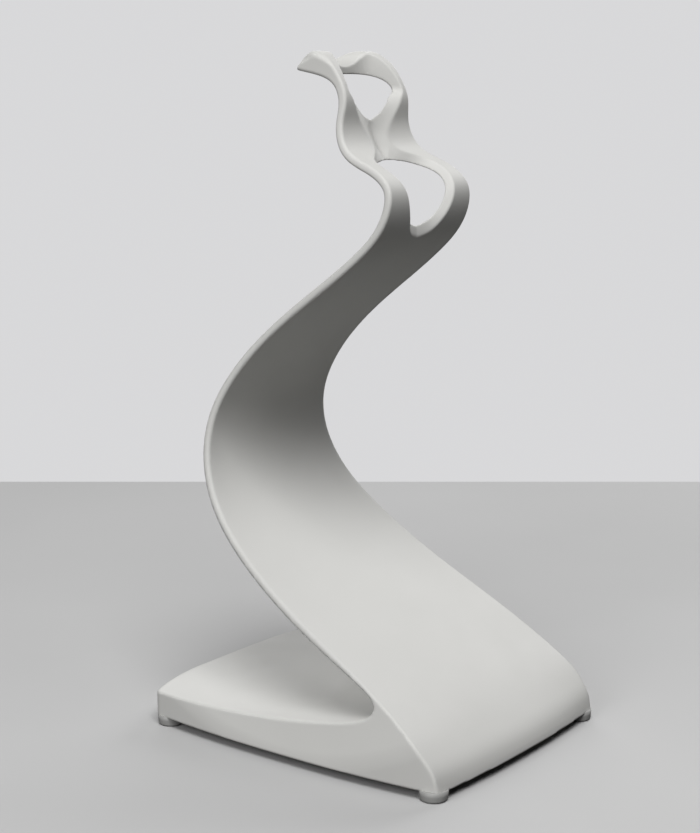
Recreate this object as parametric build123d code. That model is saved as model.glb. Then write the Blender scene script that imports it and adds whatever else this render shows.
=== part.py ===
"""Upright stand for one laboratory pipette: a moulded S-shaped blade on a weighted foot."""
from build123d import *
import math
import os

# ---- driving dimensions (mm); X across, Y front to back, Z up from the table ----
# footprint of the base, bowed on all four sides
half_width_mid = 69.0        # half width halfway along the side
half_width_corner = 64.5     # half width at the four corners
front_mid = -85.0            # front edge on the centre line
front_corner = -81.5         # front edge at the corners
rear_mid = 85.0              # rear edge on the centre line
rear_corner = 75.5           # rear edge at the corners
rear_shoulder = (49.0, 80.8) # the rear edge stays flat to here, then turns in
corner_radius = 2.0

# base plate behind the blade
foot_height = 4.1            # gap between table and underside
gap_root = (-47.6, 31.2)     # deepest point of the gap under the blade (y, z)
gap_floor = [                # top of the base plate, from the root to the rear (y, z)
    (-44.4, 28.2), (-33.0, 24.2), (-5.7, 19.8), (24.6, 17.5), (85.0, 15.8),
]

# blade
blade_thickness = 3.8
blade_front = [              # front face in side view, from the slope to the top of the curl (y, z)
    (-48.3, 37.6), (-27.1, 50.2), (-4.0, 63.0), (18.2, 76.6), (37.2, 91.0),
    (51.3, 106.5), (59.2, 126.0), (58.5, 141.4), (49.2, 160.4), (31.8, 179.8),
    (7.6, 199.3), (-16.3, 218.1), (-29.4, 235.0), (-30.6, 248.0), (-20.5, 257.0),
    (-6.0, 265.4), (-2.6, 275.0), (-3.3, 285.0),
]
toe_low = (-82.6, 10.6)      # the front face rolls under below the slope
toe_mid = (-76.2, 17.6)
toe_high = (-67.6, 24.5)
toe_trim_height = 9.4        # from here up the toe's corners are cut back,
toe_trim_lean = 1.05         # by a bowed face that leans back this much per mm of height
blade_half_width = [         # half width of the blade against height (half width, z)
    (64.3, 30.0), (57.9, 63.0), (46.3, 115.0), (36.8, 170.0), (31.9, 222.0),
    (31.0, 250.0), (25.6, 272.0), (23.0, 290.0), (22.8, 308.0),
]

# lip that curls back over the top
lip_top = [(1.0, 295.2), (8.0, 302.6), (15.5, 305.6), (21.8, 304.2), (26.9, 299.4)]
lip_tip = (27.2, 298.4)
lip_under = [(20.0, 296.5), (11.0, 294.2), (4.6, 290.6), (1.0, 284.0)]
lip_rear_bow = 3.2           # how far the lip's rear corners fall short of its middle
lip_trim_lean = -0.85        # the bowed rear face leans forward this much per mm of height
rear_join_drop = 5.0         # the rear face hands over to the lip this far below the curl's top
saddle_radius = 13.0         # trough across the lip that the pipette hangs in
saddle_y = 13.4              # front edge of the trough on the centre line
saddle_z = 299.0             # bottom of the trough there
saddle_tilt = 4.0            # degrees, rising to the rear

# waisted opening, unrolled along the blade: (distance from the waist, half width)
waist_z = 267.5
opening_front = [            # its edge on the front face, up to where the lip window takes over
    (-58.0, 0.0), (-54.6, 9.4), (-43.7, 15.2), (-30.3, 19.6), (-18.0, 21.2), (-11.5, 19.4),
    (-5.8, 12.2), (0.0, 6.4), (6.0, 9.6), (12.8, 14.7), (21.7, 19.2), (27.0, 20.4),
]
lower_hole = [               # edge of the lower hole on the rear face
    (-54.2, 0.0), (-51.6, 7.4), (-44.0, 13.4), (-32.0, 16.8), (-19.8, 19.4), (-13.0, 15.0),
    (-8.4, 0.0),
]
upper_hole = [               # edge of the upper hole on the rear face
    (8.6, 0.0), (11.6, 8.0), (18.0, 14.6), (22.7, 17.4), (27.0, 18.6),
]
lip_window = [               # plan of the cut through the lip, upright, right half (x, y)
    (20.4, -8.0), (20.2, -2.0), (19.4, 3.0), (18.5, 6.0), (17.2, 9.0), (15.0, 11.6),
    (12.2, 13.0), (8.0, 14.0),
]
lip_window_end = 14.4        # y of its end on the centre line
lip_window_low = 289.5       # height it starts at
waist_depth = 3.6            # depth of the groove that joins the two holes
waist_pad_height = 1.6       # a pad behind the groove keeps its floor this thick and more
waist_pad_radius = 9.0
opening_steps = 32           # cross-sections along the cut
opening_overrun = 1.2        # how far the cut runs past both faces
opening_end_trim = 0.4       # left off the cut's sharp ends
opening_floor = 0.3          # least half width of the bottom of the cut
lip_growth = (20.0, 0.3)     # the lip thickens this far above the waist, by this much per mm

# inside of the base: a deep pocket for the ballast behind a shallow recess for the cover
cover_inset = 5.0            # rim left round the cover
cover_thickness = 2.4
cover_clearance = 0.3
pocket_top = 12.4            # ceiling of the pocket
pocket_side_inset = 8.5      # from the footprint's corners
pocket_front_inset = 19.5
pocket_rear_inset = 17.5
pocket_corner_radius = 6.0
ballast_clearance = 0.3      # above the ballast
ballast_margin = 0.8         # round its edges
relief_hole_diameter = 12.0  # the two holes that the ballast is lifted out by
relief_hole_x = 30.0

# fasteners and feet
screw_side_inset = 22.5      # from the footprint's corners
screw_front_inset = 10.5
screw_rear_inset = 8.0
screw_shank_diameter = 2.9
screw_head_diameter = 5.6
screw_head_height = 1.6
screw_length = 8.6           # under the head
screw_slot_width = 0.9
screw_slot_depth = 0.7
screw_pilot_overrun = 0.5    # empty depth beyond a screw's point
hole_clearance = 0.2
foot_side_inset = 5.2        # from the footprint's corners
foot_front_inset = 5.1
foot_rear_inset = 4.7
foot_diameter = 12.7
foot_tip_diameter = 12.0     # at the table
foot_recess = 0.8            # how far a foot is let into the underside
foot_recess_gap = 0.1
foot_chamfer = 0.7

# ---- derived sizes ----
top_of_all = lip_top[2][1]
cover_top = foot_height + cover_thickness
ballast_thickness = pocket_top - cover_top - ballast_clearance
wide = 3 * half_width_mid    # longer than the part in any direction
pocket_half_width = half_width_corner - pocket_side_inset
pocket_front_y = front_corner + pocket_front_inset
pocket_rear_y = rear_corner - pocket_rear_inset
screw_x = half_width_corner - screw_side_inset
screw_front_y = front_corner + screw_front_inset
screw_rear_y = rear_corner - screw_rear_inset
foot_x = half_width_corner - foot_side_inset
foot_front_y = front_corner + foot_front_inset
foot_rear_y = rear_corner - foot_rear_inset
feet = {
    "foot_front_left": (-foot_x, foot_front_y), "foot_front_right": (foot_x, foot_front_y),
    "foot_rear_left": (-foot_x, foot_rear_y), "foot_rear_right": (foot_x, foot_rear_y),
}
screw_places = [(sx * screw_x, y) for sx in (-1, 1) for y in (screw_front_y, screw_rear_y)]


def blade_curve():
    """Front face of the stand in side view, from the underside of the toe to the lip."""
    points = [toe_low, toe_mid, toe_high] + blade_front + lip_top
    return Edge.make_spline([Vector(front_mid, foot_height)] + [Vector(*p) for p in points])


def on_curve(edge, distance, depth=0.0):
    """Point on a side-view curve, and its inward normal, as (y, z) pairs."""
    share = distance / edge.length
    p, t = edge.position_at(share), edge.tangent_at(share)
    n = (t.Y, -t.X)
    return (p.X + n[0] * depth, p.Y + n[1] * depth), n


def distance_at_height(edge, z, low=0.0, high=1.0):
    """Distance along a curve that climbs between two shares of its length to a given height."""
    for _ in range(40):
        middle = (low + high) / 2
        if edge.position_at(middle).Y < z:
            low = middle
        else:
            high = middle
    return edge.length * low


def rear_points(edge):
    """Rear face of the blade, one thickness behind the front face, from the root up to the lip."""
    start = distance_at_height(edge, blade_front[0][1])
    end = distance_at_height(edge, blade_front[-1][1] - rear_join_drop)
    count = 30
    steps = [start + (end - start) * i / (count - 1) for i in range(count)]
    return [on_curve(edge, s, blade_thickness)[0] for s in steps]


def side_profile():
    """Closed outline of the stand seen from its side."""
    front = blade_curve()
    front_end = front.position_at(1)
    tip = Edge.make_spline([front_end, Vector(*lip_tip), Vector(*lip_under[0])])
    back = [Vector(*p) for p in reversed(rear_points(front))]
    rear_face = Edge.make_spline([Vector(*p) for p in lip_under] + back)
    root = Edge.make_three_point_arc(back[-1], Vector(*gap_root), Vector(*gap_floor[0]))
    floor = Edge.make_spline([Vector(*p) for p in gap_floor])
    rear_wall = Edge.make_line(gap_floor[-1], (rear_mid, foot_height))
    bottom = Edge.make_line((rear_mid, foot_height), (front_mid, foot_height))
    return Wire([front, tip, rear_face, root, floor, rear_wall, bottom])


def plan_outline(inset=0.0):
    """Bowed outline of the footprint seen from above, set in by a given amount."""
    front, rear = front_corner + inset, rear_corner - inset
    half = half_width_corner - inset
    side = half_width_mid - inset
    middle = (front + rear) / 2
    shoulder = Vector(rear_shoulder[0], rear_shoulder[1] - inset)
    left_shoulder = Vector(-rear_shoulder[0], rear_shoulder[1] - inset)
    edges = [
        Edge.make_three_point_arc((half, front), (side, middle), (half, rear)),
        Edge.make_spline([Vector(half, rear), shoulder, Vector(0, rear_mid - inset),
                          left_shoulder, Vector(-half, rear)]),
        Edge.make_three_point_arc((-half, rear), (-side, middle), (-half, front)),
        Edge.make_three_point_arc((-half, front), (0, front_mid + inset), (half, front)),
    ]
    face = Face(Wire(edges))
    return face.fillet_2d(corner_radius, face.vertices())


def upright(face, z_low, z_high):
    """Solid of a plan face between two heights."""
    return extrude(Pos(0, 0, z_low) * face, amount=z_high - z_low, dir=(0, 0, 1))


def front_outline():
    """Outline of the stand seen from the front, flared down to the footprint."""
    right = [Vector(*p) for p in blade_half_width]
    side = Edge.make_spline([Vector(half_width_mid, foot_height)] + right)
    other = side.mirror(Plane.YZ)
    top = Edge.make_line(side.position_at(1), other.position_at(1))
    bottom = Edge.make_line(side.position_at(0), other.position_at(0))
    return Face(Wire([side, top, other, bottom]))


def outside_arc(y_middle, y_side, half, outward):
    """Plan region beyond a bowed edge; outward is 1 for a rear edge and -1 for a front one."""
    bow = abs(y_middle - y_side)
    radius = (half ** 2 + bow ** 2) / (2 * bow)
    block = Pos(0, y_side + outward * wide / 2) * Rectangle(wide, wide)
    return block - Pos(0, y_middle - outward * radius) * Circle(radius)


def lip_trimmer():
    """Space behind the lip: upright below the tip, then leaning forward over the top."""
    half = blade_half_width[-1][0]
    region = outside_arc(lip_tip[0], lip_tip[0] - lip_rear_bow, half, 1)
    low = blade_half_width[-2][1]
    straight = extrude(Pos(0, 0, low) * region, amount=lip_tip[1] - low)
    leaning = extrude(Pos(0, 0, lip_tip[1]) * region, amount=lip_tip[0],
                      dir=(0, lip_trim_lean, 1))
    return straight + leaning


def toe_trimmer():
    """Space in front of the toe's corners, leaning back with the slope."""
    region = outside_arc(front_mid, front_corner, half_width_corner, -1)
    height = blade_front[0][1] - toe_trim_height
    return extrude(Pos(0, 0, toe_trim_height) * region,
                   amount=height * math.hypot(1, toe_trim_lean), dir=(0, toe_trim_lean, 1))


def half_width_at(points, distance):
    """Half width of an unrolled outline at a distance from the waist, 0 beyond its ends."""
    if not points[0][0] < distance <= points[-1][0]:
        return 0.0
    curve = Edge.make_spline([Vector(*p) for p in points])
    low, high = 0.0, 1.0
    for _ in range(30):
        middle = (low + high) / 2
        if curve.position_at(middle).X < distance:
            low = middle
        else:
            high = middle
    return max(curve.position_at(low).Y, 0.0)


def opening_section(distance):
    """Half widths at the front face and at the floor of the cut, and the cut's depth."""
    front_half = half_width_at(opening_front, distance)
    hole_half = half_width_at(lower_hole, distance) + half_width_at(upper_hole, distance)
    start, rate = lip_growth
    thickness = blade_thickness + rate * max(distance - start, 0.0)
    if hole_half > opening_floor:
        depth = thickness + opening_overrun
        slope = (front_half - hole_half) / thickness
        return front_half, max(hole_half - slope * opening_overrun, opening_floor), depth
    low, high = lower_hole[-1][0], upper_hole[0][0]
    if low <= distance <= high:
        rise = math.sin(math.pi * (distance - low) / (high - low))
        return front_half, opening_floor, thickness - (thickness - waist_depth) * rise
    end, inner = opening_front[0][0], lower_hole[0][0]
    return front_half, opening_floor, thickness * (distance - end) / (inner - end)


def opening_cutter():
    """Waisted cut with bevelled walls that follows the curve of the blade."""
    edge = blade_curve()
    waist = distance_at_height(edge, waist_z)
    first = opening_front[0][0] + opening_end_trim
    last = opening_front[-1][0]
    sections = []
    for i in range(opening_steps + 1):
        turn = math.cos(math.pi * i / opening_steps)
        distance = (first + last) / 2 - (last - first) / 2 * turn
        front_half, floor_half, depth = opening_section(distance)
        lead = opening_overrun
        outer = front_half + (front_half - floor_half) / depth * lead
        (y, z), n = on_curve(edge, waist + distance)
        corners = [(outer, -lead), (floor_half, depth), (-floor_half, depth), (-outer, -lead)]
        points = [Vector(x, y + n[0] * d, z + n[1] * d) for x, d in corners]
        sections.append(Wire.make_polygon(points, close=True))
    return Solid.make_loft(sections, ruled=True)


def window_cutter():
    """Upright cut through the lip that carries the opening up to the saddle."""
    right = [Vector(*p) for p in lip_window]
    left = [Vector(-p[0], p[1]) for p in reversed(lip_window)]
    curve = Edge.make_spline(right + [Vector(0, lip_window_end)] + left)
    front = Edge.make_line(curve.position_at(1), curve.position_at(0))
    return upright(Face(Wire([curve, front])), lip_window_low, wide * 2)


def waist_pad():
    """Round pad on the rear face behind the groove."""
    edge = blade_curve()
    waist = distance_at_height(edge, waist_z)
    steps = [waist + waist_pad_radius * k / 2 for k in range(-2, 3)]
    near = [Vector(*on_curve(edge, d, blade_thickness / 2)[0]) for d in steps]
    far = [Vector(*on_curve(edge, d, blade_thickness + waist_pad_height)[0]) for d in steps]
    ends = [Edge.make_line(near[-1], far[-1]), Edge.make_line(far[0], near[0])]
    face = Face(Wire([Edge.make_spline(near), ends[0], Edge.make_spline(far[::-1]), ends[1]]))
    (y, z), n = on_curve(edge, waist)
    axis = Plane(origin=(0, y, z), z_dir=(0, n[0], n[1]))
    drum = axis * Cylinder(waist_pad_radius, wide)
    return extrude(Plane.YZ * face, amount=wide, both=True) & drum


def saddle_cutter():
    """Round trough across the lip, rising a little to the rear."""
    centre = Pos(0, saddle_y, saddle_z + saddle_radius) * Rot(saddle_tilt, 0, 0) * Rot(90, 0, 0)
    return centre * Cylinder(saddle_radius, 2 * lip_tip[0])


def cover_outline(gap=0.0):
    """Plan of the bottom cover, scalloped round the feet; a gap makes the recess for it."""
    face = plan_outline(cover_inset - gap)
    reach = foot_diameter / 2 + cover_inset / 2 - gap
    for x, y in feet.values():
        face = face - Pos(x, y) * Circle(reach)
    return face


def pocket_outline(inset=0.0):
    """Plan of the ballast pocket."""
    width = 2 * (pocket_half_width - inset)
    length = pocket_rear_y - pocket_front_y - 2 * inset
    return Pos(0, (pocket_front_y + pocket_rear_y) / 2) * RectangleRounded(
        width, length, pocket_corner_radius)


def drill(x, y, diameter, z_low, z_high):
    """Upright cylinder between two heights."""
    return Pos(x, y, (z_low + z_high) / 2) * Cylinder(diameter / 2, z_high - z_low)


def screw_head_bottom():
    """Height of the underside of a screw's head face, just inside the cover."""
    return foot_height + hole_clearance


def stand_body():
    """Blade, lip and base in one moulding."""
    profile = Face(side_profile())
    side = extrude(Plane.YZ * profile, amount=wide, both=True)
    front = extrude(Plane.XZ * front_outline(), amount=wide, both=True)
    body = side & front & upright(plan_outline(), 0, wide * 2)
    body = body - toe_trimmer() - lip_trimmer() + waist_pad()
    body = body - opening_cutter() - window_cutter() - saddle_cutter()
    body = body - upright(cover_outline(cover_clearance), 0, cover_top)
    body = body - upright(pocket_outline(), 0, pocket_top)
    pilot_top = screw_head_bottom() + screw_head_height + screw_length + screw_pilot_overrun
    for x, y in screw_places:
        body = body - drill(x, y, screw_shank_diameter, foot_height, pilot_top)
    for x, y in feet.values():
        body = body - drill(x, y, foot_diameter + 2 * foot_recess_gap,
                            0, foot_height + foot_recess)
    return body


def base_cover():
    """Flat cover let into the underside."""
    cover = upright(cover_outline(), foot_height, cover_top)
    seat = screw_head_bottom() + screw_head_height
    for x, y in screw_places:
        cover = cover - drill(x, y, screw_head_diameter + 2 * hole_clearance, 0, seat)
        cover = cover - drill(x, y, screw_shank_diameter + 2 * hole_clearance, 0, pocket_top)
    return cover


def ballast_plate():
    """Steel plate that keeps the stand upright, resting on the cover."""
    plate = upright(pocket_outline(ballast_margin), cover_top, cover_top + ballast_thickness)
    for sx in (-1, 1):
        plate = plate - drill(sx * relief_hole_x, (pocket_front_y + pocket_rear_y) / 2,
                              relief_hole_diameter, 0, pocket_top)
    return plate


def cover_screw(x, y):
    """Slotted cheese-head screw, head down."""
    low = screw_head_bottom()
    seat = low + screw_head_height
    screw = drill(x, y, screw_head_diameter, low, seat)
    screw = screw + drill(x, y, screw_shank_diameter, seat, seat + screw_length)
    slot = Pos(x, y, low) * Box(wide, screw_slot_width, 2 * screw_slot_depth)
    return screw - slot


def foot(x, y):
    """Soft round foot, a little narrower where it meets the table."""
    height = foot_height + foot_recess
    drum = Cone(foot_tip_diameter / 2, foot_diameter / 2, height)
    drum = chamfer(drum.faces().sort_by(Axis.Z)[0].edges(), foot_chamfer)
    return Pos(x, y, height / 2) * drum


def build():
    """Every sub-part under its own name."""
    parts = {
        "stand_body": stand_body(),
        "base_cover": base_cover(),
        "ballast_plate": ballast_plate(),
        "cover_screws": Compound([s for x, y in screw_places for s in cover_screw(x, y).solids()]),
    }
    for name, (x, y) in feet.items():
        parts[name] = foot(x, y)
    return parts


os.makedirs("parts", exist_ok=True)
for name, shape in build().items():
    export_step(shape, "parts/" + name + ".step")
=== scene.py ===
"""Looks for the S-shaped stand for one laboratory pipette. Shapes are worked in millimetres."""
import itertools
import math

import bpy
import numpy as np
from mathutils import Matrix, Vector

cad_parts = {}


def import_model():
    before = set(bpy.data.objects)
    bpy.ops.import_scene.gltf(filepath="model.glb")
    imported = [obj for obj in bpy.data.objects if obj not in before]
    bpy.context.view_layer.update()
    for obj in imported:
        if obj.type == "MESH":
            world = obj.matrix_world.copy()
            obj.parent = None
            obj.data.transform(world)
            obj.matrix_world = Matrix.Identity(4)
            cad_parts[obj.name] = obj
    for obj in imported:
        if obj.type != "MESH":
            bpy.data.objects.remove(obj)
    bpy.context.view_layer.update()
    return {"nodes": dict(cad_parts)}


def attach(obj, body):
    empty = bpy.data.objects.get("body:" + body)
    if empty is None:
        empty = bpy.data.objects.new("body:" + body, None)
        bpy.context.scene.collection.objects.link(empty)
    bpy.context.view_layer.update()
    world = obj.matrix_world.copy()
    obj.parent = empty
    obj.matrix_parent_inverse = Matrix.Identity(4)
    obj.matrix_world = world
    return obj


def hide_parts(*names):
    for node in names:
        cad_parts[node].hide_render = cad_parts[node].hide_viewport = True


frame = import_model()

MM = 0.001

# ---- sizes of the stand (mm), within about 3 mm of the solids ----
FOOT_HEIGHT = 4.1
HALF_MID, HALF_CORNER = 69.0, 64.5
FRONT_MID, FRONT_CORNER = -85.0, -81.5
REAR_MID, REAR_CORNER = 85.0, 75.5
CORNER_RADIUS = 2.0
TOE_NARROWING = 0.8          # how much narrower the front corners are than the rear ones
THICKNESS = 3.8
BLADE_FRONT = [              # front face of the blade in side view, as (y, z)
    (-85.0, 4.1), (-82.6, 10.6), (-76.3, 17.7), (-67.9, 24.9), (-48.6, 38.2), (-27.3, 50.5),
    (-4.0, 63.0), (18.2, 76.6), (37.2, 91.0), (51.3, 106.5), (59.2, 126.0), (58.5, 141.4),
    (49.2, 160.4), (31.8, 179.8), (7.6, 199.3), (-16.6, 218.1), (-30.2, 235.0), (-31.4, 248.0),
    (-20.9, 257.2), (-6.0, 265.4), (-2.6, 275.0), (-3.3, 285.0),
]
EVEN_FROM, EVEN_TO = 59.0, 279.0  # heights between which the blade has its even thickness
LIP_TOP = [(1.0, 295.2), (8.0, 302.6), (14.5, 305.3), (20.5, 305.2), (25.2, 303.6), (28.4, 300.9)]
LIP_UNDER = [(28.6, 298.2), (20.0, 296.5), (11.0, 294.6), (4.6, 291.3), (1.0, 284.0)]
GAP = [                      # root of the gap under the blade, and the gap's floor
    (-34.9, 43.1), (-40.6, 40.2), (-44.3, 38.0), (-46.5, 35.7), (-47.1, 33.4), (-46.4, 31.2),
    (-44.5, 29.4), (-41.7, 27.8), (-37.9, 26.4), (-31.8, 24.8), (-21.3, 22.7), (-10.5, 21.0),
    (24.6, 17.5),
]
REAR_CORNER_ARC = (83.2, 15.87), (84.5, 15.3), (85.0, 14.0)
HALF_WIDTH = [               # (half width, z)
    (69.0, 4.1), (63.5, 30.0), (57.9, 63.0), (46.3, 115.0), (36.8, 170.0), (31.6, 222.0),
    (30.2, 246.0), (25.6, 272.0), (23.0, 290.0), (22.8, 308.0),
]
TOE_BOW_FROM, TOE_BOW_FADE = 5.0, 20.0  # the front edge's bow fades out above this height
TOE_END = -30.0              # and only forward of this place
LIP_BOW, LIP_LEAN = 4.9, (0.15, 0.55)  # bow of the lip's rear edge, and its lean above the tip
LIP_MARGIN = 0.2             # the rear edge lies this far behind the end of its top
LIP_FROM = 290.0             # only above this height is the lip's rear face cut
SADDLE_RADIUS, SADDLE_Y, SADDLE_Z, SADDLE_TILT = 13.0, 13.4, 299.0, math.radians(4.0)
WAIST_Z = 267.5
# Outlines of the opening unrolled along the blade, as (length from the waist, half width).
OPENING_FRONT = [
    (-58.0, 0.0), (-55.2, 7.4), (-49.5, 11.8), (-43.7, 14.9), (-30.3, 19.2), (-18.0, 20.2),
    (-12.0, 16.8), (-8.0, 11.6), (-4.0, 7.4), (0.0, 6.3), (6.0, 9.6), (12.8, 14.7),
    (21.7, 19.2), (27.0, 20.4), (40.0, 20.8),
]
LOWER_HOLE = [(-54.2, 0.0), (-51.6, 6.4), (-44.0, 12.6), (-32.0, 16.6), (-19.8, 18.2),
              (-12.5, 14.0), (-8.6, 0.0)]
UPPER_HOLE = [(9.2, 0.0), (12.2, 7.2), (18.0, 13.5), (22.7, 16.2), (27.0, 17.6), (40.0, 18.6)]
FOLLOW_FROM = 200.0          # the opening lies above this height
OPENING_SPAN = -66.0, 44.0   # lengths from the waist between which the opening is worked out
UPPER_BEVEL_FROM, UPPER_BEVEL_GAIN = 20.0, 0.3  # the walls get deeper above the upper hole's middle
LIFT_LIMITS = -0.4, 1.4      # how far the bevelled walls run on in front of and behind the blade
LIP_WINDOW = [(20.4, -14.0), (20.2, -8.0), (19.5, -2.0), (18.2, 3.0), (16.8, 6.0), (15.1, 9.0),
              (13.2, 11.4), (10.6, 13.0), (7.0, 14.0)]
WINDOW_END, WINDOW_FROM, WINDOW_FULL = 14.4, 285.5, 291.0
WAIST_DEPTH = 3.2
GROOVE_REACH, GROOVE_CLAMP = 10.0, 14.0  # the groove ends here, and its width is held from here
PAD_HEIGHT, PAD_RADIUS, PAD_ROUND, PAD_BLEND = 1.2, 4.8, 1.2, 0.8
BASE_ROUND, BLADE_ROUND, LIP_ROUND = 1.0, 1.4, 1.4  # along the outer edges; the lip's adds on
BLADE_ROUND_FROM, BLADE_ROUND_RUN = 30.0, 25.0      # height where the blade's rounding sets in
LIP_ROUND_FROM, LIP_ROUND_RUN = 299.0, 4.0
TIP_ROUND, SHOULDER_ROUND, SHOULDER_GAIN = 0.4, 2.0, 2.5  # lip's tip, its shoulder, and its ends
RIM_ROUND = 0.5              # rounding round the opening
SADDLE_ROUND = 0.8, 2.2      # low in the trough, and where it meets the crest
SADDLE_ROUND_FROM, SADDLE_ROUND_RUN = 301.5, 3.0
GROOVE_ROUND = 1.0

FOOT_X, FOOT_FRONT_Y, FOOT_REAR_Y = 59.3, -76.4, 70.8
FOOT_PROFILE = [  # (radius, z)
    (4.9, 0.0), (5.35, 0.05), (5.68, 0.2), (5.9, 0.44), (6.03, 0.78), (6.09, 1.2), (6.2, 2.6),
    (6.34, 4.85),
]
FOOT_TURNS = 72


# ---- small numeric helpers ----
def spline(points, step):
    """Points along a natural cubic through the given ones, about one step apart."""
    p = np.array(points, float)
    t = np.concatenate([[0], np.cumsum(np.hypot(*np.diff(p, axis=0).T))])
    n, h = len(t), np.diff(t)
    a = np.zeros((n, n))
    rhs = np.zeros((n, 2))
    a[0, 0] = a[-1, -1] = 1
    for i in range(1, n - 1):
        a[i, i - 1:i + 2] = h[i - 1], 2 * (h[i - 1] + h[i]), h[i]
        rhs[i] = 6 * ((p[i + 1] - p[i]) / h[i] - (p[i] - p[i - 1]) / h[i - 1])
    m = np.linalg.solve(a, rhs)
    u = np.linspace(0, t[-1], max(int(t[-1] / step), 2) + 1)
    k = np.clip(np.searchsorted(t, u, side="right") - 1, 0, n - 2)
    hk = h[k][:, None]
    d1, d0 = (t[k + 1] - u)[:, None], (u - t[k])[:, None]
    return (m[k] * d1 ** 3 / (6 * hk) + m[k + 1] * d0 ** 3 / (6 * hk)
            + (p[k] / hk - m[k] * hk / 6) * d1 + (p[k + 1] / hk - m[k + 1] * hk / 6) * d0)


def lookup(points, step=0.2):
    """A function of the first coordinate, from a smooth curve through the points."""
    c = spline(points, step)
    xs = np.maximum.accumulate(c[:, 0])
    return lambda v: np.interp(v, xs, c[:, 1])


def normals_of(curve):
    """Unit normals to the right of a curve's direction."""
    t = np.gradient(curve, axis=0)
    t /= np.linalg.norm(t, axis=1)[:, None]
    return np.stack([t[:, 1], -t[:, 0]], axis=1)


def arc_through(a, b, c, count):
    """Points on the circle through three points, from the first to the last."""
    (ax, ay), (bx, by), (cx, cy) = a, b, c
    d = 2 * (ax * (by - cy) + bx * (cy - ay) + cx * (ay - by))
    ux = ((ax * ax + ay * ay) * (by - cy) + (bx * bx + by * by) * (cy - ay)
          + (cx * cx + cy * cy) * (ay - by)) / d
    uy = ((ax * ax + ay * ay) * (cx - bx) + (bx * bx + by * by) * (ax - cx)
          + (cx * cx + cy * cy) * (bx - ax)) / d
    r = math.hypot(ax - ux, ay - uy)
    a0, a1, a2 = (math.atan2(q[1] - uy, q[0] - ux) for q in (a, b, c))
    turn = (a2 - a0) % (2 * math.pi)
    if (a1 - a0) % (2 * math.pi) > turn:
        turn -= 2 * math.pi
    k = a0 + turn * np.linspace(0, 1, count)
    return np.stack([ux + r * np.cos(k), uy + r * np.sin(k)], axis=1)


def round_max(a, b, r):
    """Intersection of two distance fields with a rounded edge of the given radius."""
    return np.minimum(np.maximum(a, b), -r) + np.hypot(np.maximum(a + r, 0), np.maximum(b + r, 0))


def smoothstep(v):
    """Soft step from 0 to 1."""
    v = np.clip(v, 0, 1)
    return v * v * (3 - 2 * v)


# ---- side view: the closed outline and the front curve ----
front_curve = spline(BLADE_FRONT + LIP_TOP, 0.5)
front_normal = normals_of(front_curve)
front_length = np.concatenate([[0], np.cumsum(np.hypot(*np.diff(front_curve, axis=0).T))])


def place_at_height(z):
    """Index of the first point of the front curve at a height."""
    return int(np.argmax(front_curve[:, 1] >= z))


def outline():
    """Closed side outline of the stand."""
    first, last = place_at_height(EVEN_FROM), place_at_height(EVEN_TO)
    rear = (front_curve + front_normal * THICKNESS)[first:last + 1:6]
    lower = [tuple(q) for q in rear[::-1]] + GAP + [REAR_CORNER_ARC[0]]
    back = spline(LIP_UNDER + lower, 0.5)
    corner = arc_through(*REAR_CORNER_ARC, 10)
    parts = [front_curve, back, corner[1:], [(REAR_MID, FOOT_HEIGHT)]]
    return np.concatenate([np.array(q, float) for q in parts])


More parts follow.
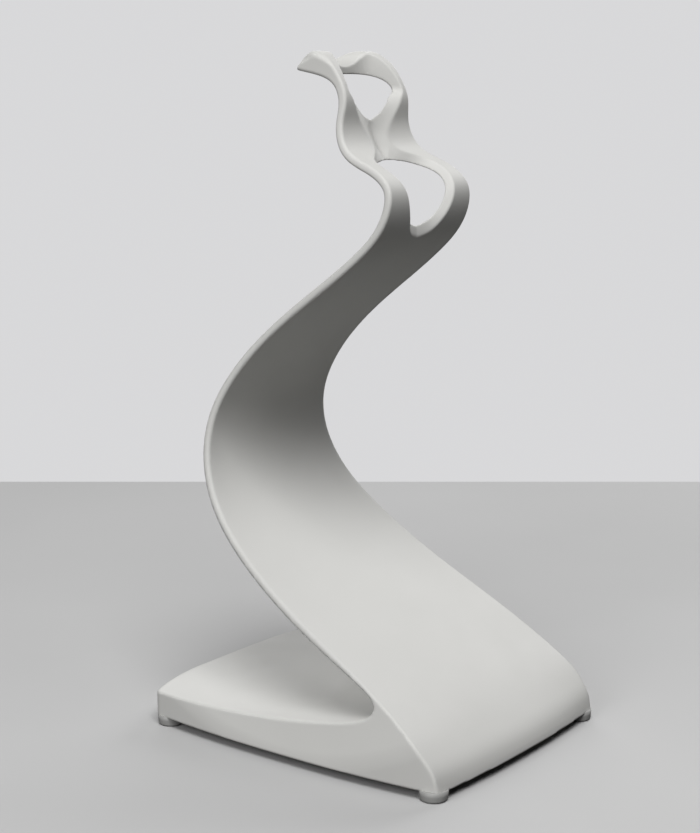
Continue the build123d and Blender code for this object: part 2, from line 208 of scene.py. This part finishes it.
class Table:
    """Narrow-band table of distances to a closed plane outline, read by smooth interpolation."""
    reach = 7.0  # distances are worked out this far from the outline

    def __init__(self, poly, low, counts, step):
        self.low, self.step = low, step
        self.y = low[0] + step * np.arange(counts[0])
        self.z = low[1] + step * np.arange(counts[1])
        self.dist = self.unsigned(poly) * self.signs(poly)

    def window(self, p, q):
        """Index ranges of the table near a segment."""
        lo = np.minimum(p, q) - self.reach
        hi = np.maximum(p, q) + self.reach
        first = np.maximum(((lo - self.low) / self.step).astype(int), 0)
        last = np.maximum(((hi - self.low) / self.step).astype(int), 0)
        return slice(first[0], last[0]), slice(first[1], last[1])

    def near(self, p, q, iy, iz):
        """Distance, share along and side of table points to a segment."""
        y, z = self.y[iy][:, None], self.z[iz][None, :]
        d = q - p
        share = np.clip(((y - p[0]) * d[0] + (z - p[1]) * d[1]) / (d @ d), 0, 1)
        ry, rz = y - p[0] - share * d[0], z - p[1] - share * d[1]
        return np.hypot(ry, rz), share, ry * d[1] - rz * d[0]

    def unsigned(self, poly):
        """Distance to the outline, up to the reach."""
        best = np.full((len(self.y), len(self.z)), self.reach)
        for p, q in zip(poly, np.roll(poly, -1, axis=0)):
            if np.allclose(p, q):
                continue
            iy, iz = self.window(p, q)
            best[iy, iz] = np.minimum(best[iy, iz], self.near(p, q, iy, iz)[0])
        return best

    def signs(self, poly):
        """-1 inside the closed outline, 1 outside."""
        a, b = poly, np.roll(poly, -1, axis=0)
        sign = np.ones((len(self.y), len(self.z)))
        for j, z in enumerate(self.z):
            cut = (a[:, 1] > z) != (b[:, 1] > z)
            ys = a[cut, 0] + (z - a[cut, 1]) * (b[cut, 0] - a[cut, 0]) / (b[cut, 1] - a[cut, 1])
            sign[np.searchsorted(np.sort(ys), self.y) % 2 == 1, j] = -1
        return sign

    def follow(self, reach):
        """Length along the front curve from the waist, and depth behind it, near the opening."""
        self.reach = reach
        waist = place_at_height(WAIST_Z)
        along = np.full(self.dist.shape, 999.0)
        depth = np.full(self.dist.shape, self.reach)
        best = np.full(self.dist.shape, self.reach)
        for i in range(place_at_height(FOLLOW_FROM), len(front_curve) - 1):
            p, q = front_curve[i], front_curve[i + 1]
            iy, iz = self.window(p, q)
            d, share, side = self.near(p, q, iy, iz)
            hit = d < best[iy, iz]
            best[iy, iz][hit] = d[hit]
            step = front_length[i + 1] - front_length[i]
            run = front_length[i] - front_length[waist] + share * step
            along[iy, iz][hit] = run[hit]
            depth[iy, iz][hit] = (np.sign(side) * d)[hit]
        return along, depth

    def read(self, table, y, z):
        """Catmull-Rom interpolation of a table at any points."""
        fy, fz = (y - self.low[0]) / self.step, (z - self.low[1]) / self.step
        iy = np.clip(np.floor(fy).astype(int), 1, len(self.y) - 3)
        iz = np.clip(np.floor(fz).astype(int), 1, len(self.z) - 3)
        ty, tz = fy - iy, fz - iz

        def weights(t):
            return (((-t + 2) * t - 1) * t / 2, ((3 * t - 5) * t * t + 2) / 2,
                    ((-3 * t + 4) * t + 1) * t / 2, (t - 1) * t * t / 2)
        total = 0
        for a, wy in enumerate(weights(ty)):
            for b, wz in enumerate(weights(tz)):
                total = total + wy * wz * table[iy + a - 1, iz + b - 1]
        return total


def mirrored(points, middle):
    """Outline from its right half, given as (x, y), and its point on the centre line."""
    return points + [middle] + [(-x, y) for x, y in reversed(points)]


def unrolled(points):
    """Closed outline of a hole unrolled along the blade, from its half widths."""
    half = spline(points, 0.5)
    half[:, 1] = np.maximum(half[:, 1], 0.0)
    return np.concatenate([half, half[::-1] * (1, -1)])


side = Table(outline(), (-96.0, -4.0), (480, 800), 0.4)
side_along, side_depth = side.follow(12.0)
window = Table(spline(mirrored(LIP_WINDOW, (0.0, WINDOW_END)), 0.5), (-34.0, -22.0),
               (272, 180), 0.25)
front_hole, low_hole, high_hole = (
    Table(unrolled(points), (-70.0, -32.0), (480, 256), 0.25)
    for points in (OPENING_FRONT, LOWER_HOLE, UPPER_HOLE))
half_width = lookup([(z, w) for w, z in HALF_WIDTH])
front_half = lookup(OPENING_FRONT)


# ---- distance fields ----
def opening_field(x, y, z, along, depth):
    """Distance to the waisted cut with its bevelled walls, negative inside it."""
    along = np.clip(along, *OPENING_SPAN)
    thick = THICKNESS + UPPER_BEVEL_GAIN * np.maximum(along - UPPER_BEVEL_FROM, 0.0)
    lift = np.clip(depth / thick, *LIFT_LIMITS)
    outer = front_hole.read(front_hole.dist, along, x)
    inner = np.minimum(low_hole.read(low_hole.dist, along, x),
                       high_hole.read(high_hole.dist, along, x))
    holes = (outer + (inner - outer) * lift) / np.sqrt(1 + ((inner - outer) / thick) ** 2)
    low, high = LOWER_HOLE[-1][0], UPPER_HOLE[0][0]
    rise = np.sin(np.pi * np.clip((along - low) / (high - low), 0, 1))
    bed = THICKNESS - (THICKNESS - WAIST_DEPTH) * rise
    half = front_half(np.clip(along, -GROOVE_CLAMP, GROOVE_CLAMP))
    groove = (np.hypot(x, GROOVE_ROUND) - half * (1 - depth / bed)) / np.sqrt(
        1 + (half / bed) ** 2)
    groove = groove + np.maximum(np.abs(along) - GROOVE_REACH, 0.0)
    cut = np.minimum(holes, groove)
    share = smoothstep((z - WINDOW_FROM) / (WINDOW_FULL - WINDOW_FROM))
    return cut + (window.read(window.dist, x, y) - cut) * share


def plan_field(x, y):
    """Bowed footprint with rounded corners, seen from above."""
    across = 2 * (y - (FRONT_CORNER + REAR_CORNER) / 2) / (REAR_CORNER - FRONT_CORNER)
    share = x / HALF_CORNER
    corner = np.where(across < 0, HALF_CORNER - TOE_NARROWING, HALF_CORNER)
    flank = np.abs(x) - (HALF_MID - (HALF_MID - corner) * across ** 2)
    front = (FRONT_MID + (FRONT_CORNER - FRONT_MID) * share ** 2) - y
    rear = y - (REAR_MID - (REAR_MID - REAR_CORNER) * np.abs(share) ** 3)
    return round_max(flank, np.maximum(front, rear), CORNER_RADIUS)


def lip_field(x, y, z):
    """Bowed rear face of the lip, positive behind it; it leans forward above the tip."""
    share = (x / HALF_WIDTH[-1][0]) ** 2
    lean = LIP_LEAN[0] + LIP_LEAN[1] * share
    over = z - LIP_UNDER[0][1]
    behind = y - LIP_TOP[-1][0] - LIP_MARGIN + LIP_BOW * share + lean * np.maximum(over, 0.0)
    tilt = np.sqrt(1 + np.where(over > 0, lean, 0.0) ** 2)
    return np.where(z > LIP_FROM, behind / tilt, -9.0)


def pad_field(x, along, depth):
    """Round pad behind the waist, negative inside it."""
    rim = np.hypot(x, along) - PAD_RADIUS
    return np.maximum(round_max(rim, depth - THICKNESS - PAD_HEIGHT, PAD_ROUND), 1.0 - depth)


def only_where(near, field, *places):
    """A field worked out only where it matters, and a far value elsewhere."""
    value = np.full(near.shape, 5.0)
    value[near] = field(*(p[near] for p in places))
    return value


def body_field(x, y, z):
    """Signed distance to the stand body, negative inside."""
    x, y, z = np.broadcast_arrays(x, y, z)
    fade = 1 - smoothstep((z - TOE_BOW_FROM) / TOE_BOW_FADE)
    set_back = (FRONT_CORNER - FRONT_MID) * (x / HALF_CORNER) ** 2 * fade
    side_view = side.read(side.dist, y - np.where(y < TOE_END, set_back, 0.0), z)
    slope = (half_width(z + 0.5) - half_width(z - 0.5))
    width = (np.abs(x) - half_width(z)) / np.sqrt(1 + slope ** 2)
    on_blade = smoothstep((z - BLADE_ROUND_FROM) / BLADE_ROUND_RUN)
    on_lip = smoothstep((z - LIP_ROUND_FROM) / LIP_ROUND_RUN)
    edge = BASE_ROUND + (BLADE_ROUND - BASE_ROUND) * on_blade + LIP_ROUND * on_lip
    body = round_max(side_view, width, edge)
    body = round_max(body, plan_field(x, y), BASE_ROUND)
    shoulder = SHOULDER_ROUND + SHOULDER_GAIN * (x / HALF_WIDTH[-1][0]) ** 2
    body = round_max(body, lip_field(x, y, z), TIP_ROUND + shoulder * on_lip)
    body = np.maximum(body, FOOT_HEIGHT - z)
    along = side.read(side_along, y, z)
    depth = side.read(side_depth, y, z)
    pad = only_where((np.abs(along) < 14) & (body < 6), pad_field, x, along, depth)
    body = -round_max(-body, -pad, PAD_BLEND)
    near = (along > OPENING_SPAN[0]) & (depth > -6) & (np.abs(x) < 28) & (body < 3)
    cut = only_where(near, opening_field, x, y, z, along, depth)
    body = round_max(body, -cut, RIM_ROUND)
    yc, zc = y - SADDLE_Y, z - SADDLE_Z - SADDLE_RADIUS
    up = zc * math.cos(SADDLE_TILT) - yc * math.sin(SADDLE_TILT)
    trough = SADDLE_RADIUS - np.hypot(x, up)
    low, high = SADDLE_ROUND
    rise = smoothstep((z - SADDLE_ROUND_FROM) / SADDLE_ROUND_RUN)
    return round_max(body, trough, low + (high - low) * rise)


def crossed_cells(inside):
    """Grid cells that the surface passes through, and the number of each cell's point."""
    nx, ny, nz = inside.shape
    ids = -np.ones((nx - 1, ny - 1, nz - 1), np.int64)
    counts = np.zeros((nx - 1, ny - 1, nz - 1), np.int8)
    for a, b, c in itertools.product((0, 1), repeat=3):
        counts += inside[a:nx - 1 + a, b:ny - 1 + b, c:nz - 1 + c]
    cell = np.argwhere((counts > 0) & (counts < 8))
    ids[tuple(cell.T)] = np.arange(len(cell))
    return cell, ids


def cell_points(value, axes, cell):
    """One point for each cell: the mean of the places where the surface cuts its edges."""
    total = np.zeros((len(cell), 3))
    hits = np.zeros(len(cell))
    for axis in range(3):
        u, v = [k for k in range(3) if k != axis]
        for a, b in itertools.product((0, 1), repeat=2):
            lo = cell.copy()
            lo[:, u] += a
            lo[:, v] += b
            hi = lo.copy()
            hi[:, axis] += 1
            v0, v1 = value[tuple(lo.T)], value[tuple(hi.T)]
            cross = (v0 < 0) != (v1 < 0)
            t = np.where(cross, v0 / np.where(cross, v0 - v1, 1), 0)
            point = np.stack([axes[k][lo[:, k]] for k in range(3)], axis=1).astype(float)
            point[:, axis] += t * (axes[axis][hi[:, axis]] - axes[axis][lo[:, axis]])
            total += point * cross[:, None]
            hits += cross
    return total / hits[:, None]


def cell_quads(inside, ids):
    """A face of four cells' points round each grid edge that the surface cuts."""
    quads = []
    for axis in range(3):
        u, v = [k for k in range(3) if k != axis]
        first = [slice(None)] * 3
        second = [slice(None)] * 3
        first[axis], second[axis] = slice(0, -1), slice(1, None)
        edge = np.argwhere(inside[tuple(first)] != inside[tuple(second)])
        keep = ((edge[:, u] > 0) & (edge[:, v] > 0) & (edge[:, u] < inside.shape[u] - 1)
                & (edge[:, v] < inside.shape[v] - 1))
        edge = edge[keep]
        ring = []
        for a, b in ((-1, -1), (0, -1), (0, 0), (-1, 0)):
            c = edge.copy()
            c[:, u] += a
            c[:, v] += b
            ring.append(ids[tuple(c.T)])
        ring = np.stack(ring, axis=1)
        solid_first = inside[tuple(edge.T)]
        flip = solid_first if axis != 1 else ~solid_first
        ring[~flip] = ring[~flip][:, ::-1]
        quads.append(ring)
    return np.concatenate(quads)


def surface_mesh(name, field, xs, ys, zs, turns):
    """Mesh of a field's zero level on a rectangular grid: one point per crossed cell."""
    value = np.empty((len(xs), len(ys), len(zs)), np.float32)
    for k, z in enumerate(zs):
        value[:, :, k] = field(xs[:, None] + 0 * ys[None, :], ys[None, :] + 0 * xs[:, None], z)
    inside = value < 0
    cell, ids = crossed_cells(inside)
    points = cell_points(value, (xs, ys, zs), cell)
    quads = cell_quads(inside, ids)
    for _ in range(turns):
        points = settle(points, field)
    mesh = bpy.data.meshes.new(name)
    mesh.vertices.add(len(points))
    mesh.vertices.foreach_set("co", (points * MM).astype(np.float32).ravel())
    mesh.loops.add(quads.size)
    mesh.loops.foreach_set("vertex_index", quads.astype(np.int32).ravel())
    mesh.polygons.add(len(quads))
    mesh.polygons.foreach_set("loop_start", np.arange(0, quads.size, 4, dtype=np.int32))
    mesh.polygons.foreach_set("use_smooth", np.ones(len(quads), bool))
    mesh.update(calc_edges=True)
    mesh.validate()
    return placed(bpy.data.objects.new(name, mesh))


def placed(thing):
    """Puts an object into the scene."""
    bpy.context.scene.collection.objects.link(thing)
    return thing


def settle(points, field):
    """Moves points onto the field's zero level along its slope."""
    x, y, z = points.T
    e = 0.15
    f = field(x, y, z)
    g = np.stack([field(x + e, y, z) - field(x - e, y, z), field(x, y + e, z) - field(x, y - e, z),
                  field(x, y, z + e) - field(x, y, z - e)], axis=1) / (2 * e)
    size = np.maximum((g ** 2).sum(1), 0.25)
    move = np.clip(f / size, -0.4, 0.4)[:, None] * g
    return points - move


def grid(marks):
    """Grid lines from (start, end, step) runs."""
    runs = [np.arange(a, b - s / 2, s) for a, b, s in marks]
    return np.concatenate(runs + [[marks[-1][1]]])


coarse, fine = ((1.0, 0.5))
xs = grid([(-71.0, -32.0, coarse), (-32.0, 32.0, fine), (32.0, 71.0, coarse)])
ys = grid([(-88.0, -36.0, coarse), (-36.0, 32.0, fine), (32.0, 88.0, coarse)])
zs = grid([(2.0, 40.0, fine), (40.0, 210.0, coarse), (210.0, 308.0, fine)])
body = surface_mesh("stand_moulding", body_field, xs, ys, zs, 2)
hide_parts("stand_body")
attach(body, "root")


# ---- materials ----
BUMP_DISTANCE = 0.0002  # metres


def material(name, colour, roughness):
    """A plastic material with its shader and texture position ready to build on."""
    mat = bpy.data.materials.new(name)
    mat.use_nodes = True
    tree = mat.node_tree
    shader = tree.nodes["Principled BSDF"]
    shader.inputs["Base Color"].default_value = (*colour, 1)
    shader.inputs["Roughness"].default_value = roughness
    place = tree.nodes.new("ShaderNodeTexCoord")
    return mat, tree, shader, place.outputs["Object"]


def noise(tree, place, scale, detail=3.0):
    """Cloudy value between 0 and 1."""
    n = tree.nodes.new("ShaderNodeTexNoise")
    n.inputs["Scale"].default_value = scale
    n.inputs["Detail"].default_value = detail
    n.inputs["Roughness"].default_value = 0.5
    tree.links.new(place, n.inputs["Vector"])
    return n.outputs["Fac"]


def ramp(tree, value, low, high, colours):
    """Blend of two colours as a value goes from low to high."""
    r = tree.nodes.new("ShaderNodeValToRGB")
    r.color_ramp.elements[0].position = low
    r.color_ramp.elements[1].position = high
    r.color_ramp.elements[0].color = (*colours[0], 1)
    r.color_ramp.elements[1].color = (*colours[1], 1)
    tree.links.new(value, r.inputs["Fac"])
    return r.outputs["Color"]


def bump(tree, value, strength, shader):
    """Fine unevenness of a surface."""
    b = tree.nodes.new("ShaderNodeBump")
    b.inputs["Strength"].default_value = strength
    b.inputs["Distance"].default_value = BUMP_DISTANCE
    tree.links.new(value, b.inputs["Height"])
    tree.links.new(b.outputs["Normal"], shader.inputs["Normal"])


def body_plastic():
    """Off-white satin moulding."""
    mat, tree, shader, place = material("moulded_white_plastic", (0.76, 0.757, 0.733), 0.52)
    shader.inputs["Specular IOR Level"].default_value = 0.32
    tone = ramp(tree, noise(tree, place, 14.0), 0.35, 0.7,
                ((0.745, 0.742, 0.718), (0.775, 0.772, 0.748)))
    tree.links.new(tone, shader.inputs["Base Color"])
    rough = ramp(tree, noise(tree, place, 60.0), 0.3, 0.7, ((0.48,) * 3, (0.58,) * 3))
    tree.links.new(rough, shader.inputs["Roughness"])
    bump(tree, noise(tree, place, 1400.0, 2.0), 0.08, shader)
    return mat


def plain(name, colour, roughness, spread, scale, metallic=0.0):
    """A simple finished surface: mottled colour and a fine bump."""
    mat, tree, shader, place = material(name, colour, roughness)
    shader.inputs["Metallic"].default_value = metallic
    dark = tuple(c * (1 - spread) for c in colour)
    light = tuple(min(c * (1 + spread), 1) for c in colour)
    tree.links.new(ramp(tree, noise(tree, place, scale), 0.3, 0.7, (dark, light)),
                   shader.inputs["Base Color"])
    bump(tree, noise(tree, place, scale * 12), 0.15, shader)
    return mat


def dress(node, mat):
    """Gives a piece of the frame its material."""
    thing = frame["nodes"][node]
    thing.data.materials.clear()
    thing.data.materials.append(mat)


def foot_mesh(name, x, y):
    """Soft round foot turned from its profile."""
    turns, verts, faces = FOOT_TURNS, [], []
    for r, z in FOOT_PROFILE:
        for k in range(turns):
            a = 2 * math.pi * k / turns
            verts.append(((x + r * math.cos(a)) * MM, (y + r * math.sin(a)) * MM, z * MM))
    for i in range(len(FOOT_PROFILE) - 1):
        for k in range(turns):
            n = (k + 1) % turns
            faces.append((i * turns + k, i * turns + n, (i + 1) * turns + n, (i + 1) * turns + k))
    faces.append(tuple(range(turns))[::-1])
    faces.append(tuple(range(len(verts) - turns, len(verts))))
    mesh = bpy.data.meshes.new(name)
    mesh.from_pydata(verts, [], faces)
    for face in mesh.polygons:
        face.use_smooth = len(face.vertices) == 4
    return placed(bpy.data.objects.new(name, mesh))


body.data.materials.append(body_plastic())
rubber = plain("foot_rubber", (0.42, 0.42, 0.41), 0.5, 0.05, 120.0)
steel = plain("rolled_steel", (0.45, 0.45, 0.46), 0.45, 0.12, 40.0, 1.0)
zinc = plain("zinc_plate", (0.62, 0.62, 0.63), 0.35, 0.08, 200.0, 1.0)
under = plain("cover_plastic", (0.70, 0.70, 0.685), 0.5, 0.02, 40.0)
dress("base_cover", under)
dress("ballast_plate", steel)
dress("cover_screws", zinc)
for across, x in (("left", -FOOT_X), ("right", FOOT_X)):
    for along, y in (("front", FOOT_FRONT_Y), ("rear", FOOT_REAR_Y)):
        node = "foot_" + along + "_" + across
        thing = foot_mesh("soft_" + node, x, y)
        thing.data.materials.append(rubber)
        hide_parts(node)
        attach(thing, "root")


# ---- stage, light and camera (metres and watts) ----
FLOOR_END, FLOOR_BOUNCE = 0.487, 0.08  # distance behind the stand, and the floor's bounced tone
BACKDROP, AMBIENT = 0.70, 0.015
LAMP_SIZE, LAMP_AIM = 1.2, Vector((0, 0, 0.1))
LAMPS = [  # (name, place, power)
    ("high", (-0.82, -0.82, 1.97), 32.4),
    ("left", (-2.01, 0.0, 1.0), 16.7),
    ("right", (2.01, 0.0, 1.0), 16.3),
    ("rear", (1.42, 1.42, 1.0), 8.8),
]
CAMERA_PLACE, CAMERA_PITCH = (-0.6420, -0.4731, 0.2995), math.radians(11.05)
LEVEL_AHEAD = Vector((0.798, 0.603, 0)).normalized()
RIGHT = Vector((0.603, -0.798, 0)).normalized()
SENSOR, FOCAL_PIXELS, PICTURE_PIXELS = 36.0, 1800, 700


def camera_mix(tree, to_camera, to_rest, output):
    """One shader for what the camera sees and another for the light that bounces."""
    path = tree.nodes.new("ShaderNodeLightPath")
    mix = tree.nodes.new("ShaderNodeMixShader")
    tree.links.new(path.outputs["Is Camera Ray"], mix.inputs[0])
    tree.links.new(to_rest, mix.inputs[1])
    tree.links.new(to_camera, mix.inputs[2])
    tree.links.new(mix.outputs[0], output)


def stage():
    """Pale floor that ends in a straight edge behind the stand."""
    mesh = bpy.data.meshes.new("floor")
    corners = [tuple(LEVEL_AHEAD * a + RIGHT * b)
               for a, b in ((-3, -4), (-3, 4), (FLOOR_END, 4), (FLOOR_END, -4))]
    mesh.from_pydata(corners, [], [(0, 1, 2, 3)])
    floor = placed(bpy.data.objects.new("floor", mesh))
    mat, tree, shader, place = material("pale_floor", (0.62, 0.62, 0.62), 0.8)
    tree.links.new(ramp(tree, noise(tree, place, 3.0), 0.3, 0.7, ((0.60,) * 3, (0.64,) * 3)),
                   shader.inputs["Base Color"])
    dark = tree.nodes.new("ShaderNodeBsdfDiffuse")
    dark.inputs["Color"].default_value = (FLOOR_BOUNCE,) * 3 + (1,)
    camera_mix(tree, shader.outputs[0], dark.outputs[0],
               tree.nodes["Material Output"].inputs["Surface"])
    mesh.materials.append(mat)


def lamp(name, place, power):
    """Soft square light aimed at the stand."""
    data = bpy.data.lights.new(name, "AREA")
    data.size = LAMP_SIZE
    data.energy = power
    thing = placed(bpy.data.objects.new(name, data))
    thing.location = place
    thing.rotation_euler = (LAMP_AIM - Vector(place)).to_track_quat("-Z", "Y").to_euler()


def world():
    """Pale backdrop, and a dimmer light from all round."""
    w = bpy.data.worlds.new("studio")
    w.use_nodes = True
    tree = w.node_tree
    seen = tree.nodes["Background"]
    seen.inputs["Color"].default_value = (0.985, 0.985, 1.0, 1)
    seen.inputs["Strength"].default_value = BACKDROP
    dim = tree.nodes.new("ShaderNodeBackground")
    dim.inputs["Color"].default_value = (1, 1, 1, 1)
    dim.inputs["Strength"].default_value = AMBIENT
    camera_mix(tree, seen.outputs[0], dim.outputs[0], tree.nodes["World Output"].inputs["Surface"])
    bpy.context.scene.world = w


def camera():
    """The photograph's viewing angle."""
    data = bpy.data.cameras.new("camera")
    data.sensor_fit = "HORIZONTAL"
    data.sensor_width = SENSOR
    data.lens = SENSOR * FOCAL_PIXELS / PICTURE_PIXELS
    thing = placed(bpy.data.objects.new("camera", data))
    ahead = LEVEL_AHEAD * math.cos(CAMERA_PITCH) - Vector((0, 0, math.sin(CAMERA_PITCH)))
    turn = Matrix((RIGHT, RIGHT.cross(ahead), -ahead)).transposed()
    thing.matrix_world = Matrix.Translation(CAMERA_PLACE) @ turn.to_4x4()
    bpy.context.scene.camera = thing


stage()
world()
for settings in LAMPS:
    lamp(*settings)
camera()
bpy.context.scene.view_settings.view_transform = "Standard"

bpy.context.view_layer.update()
